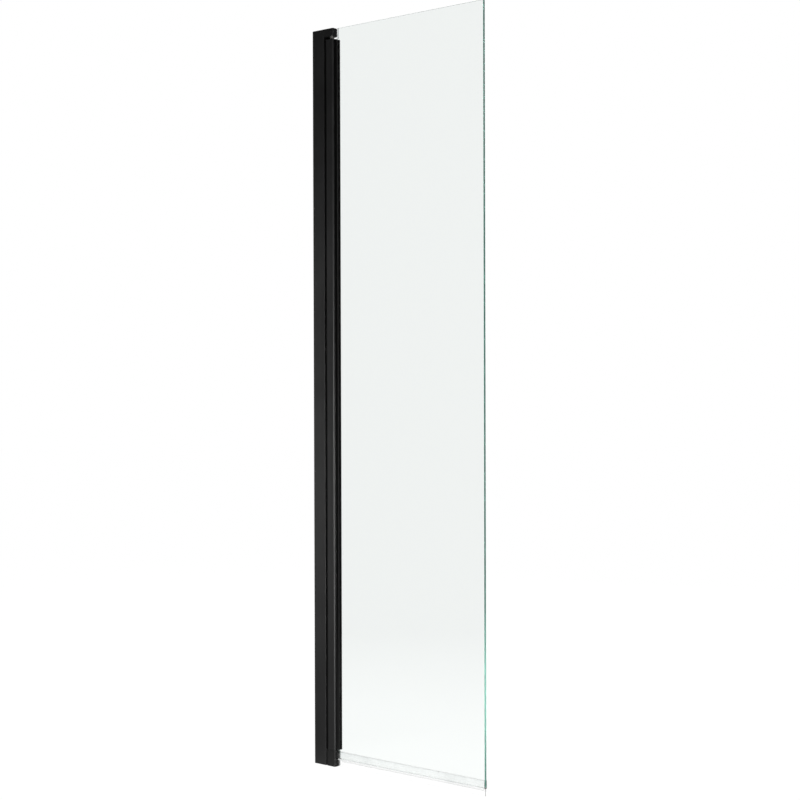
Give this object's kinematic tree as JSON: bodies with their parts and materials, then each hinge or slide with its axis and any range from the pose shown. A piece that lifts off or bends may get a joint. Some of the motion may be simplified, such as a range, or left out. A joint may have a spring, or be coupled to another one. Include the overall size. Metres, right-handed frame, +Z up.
{
  "type": "bath screen",
  "caption": "Hinged bath screen: a glass panel in a black turning profile that swings out from a wall channel on a cam that lifts it, with a clear wiping seal along its foot.",
  "frame": {"origin": "on the wall face, at the foot of the frame where it stands on the bath rim, on the glass's middle plane", "axes": "+X from the wall along the closed glass, +Y to the bath side, -Y to the room, +Z up"},
  "size_m": [0.4, 0.0192, 1.4],
  "materials": {
    "black_coat": "satin black powder coat",
    "black_plastic": "matt moulded",
    "clear_glass": "clear toughened, polished edges",
    "clear_seal": "clear flexible strip",
    "black_rubber": "smooth",
    "steel": "turned stainless",
    "bearing_plastic": "natural slippery plastic",
    "black_screws": "black coated"
  },
  "bodies": {
    "wall_frame": {"wall_profile": "black_coat", "inner_profile": "black_coat", "adjuster_screws": "black_screws", "top_cover": "black_plastic", "bottom_cover": "black_plastic", "top_hinge_block": "black_plastic", "bottom_hinge_block": "black_plastic", "top_block_screws": "steel", "bottom_block_screws": "steel", "bottom_pin": "steel", "fixed_cam": "bearing_plastic"},
    "glide": {"glide_bush": "bearing_plastic"},
    "screen": {"glass_panel": "clear_glass", "turning_profile": "black_coat", "glazing_gasket": "black_rubber", "clamp_screws": "black_screws", "top_end_plug": "black_plastic", "top_pin": "steel", "bottom_end_plug": "black_plastic", "riser_cam": "bearing_plastic", "drip_seal": "clear_seal"}
  },
  "joints": [
    {"name": "screen_lift", "type": "slide", "parent": "wall_frame", "child": "glide", "axis": [0, 0, 1], "range_m": [0, 0.005]},
    {"name": "screen_swing", "type": "hinge", "parent": "glide", "child": "screen", "pos_m": [0.04275, 0, 0], "axis": [0, 0, -1], "range_deg": [0, 90]}
  ],
  "couplings": [
    {"joint": "screen_lift", "follows": "screen_swing", "m_per_rad": 0.0031831}
  ]
}
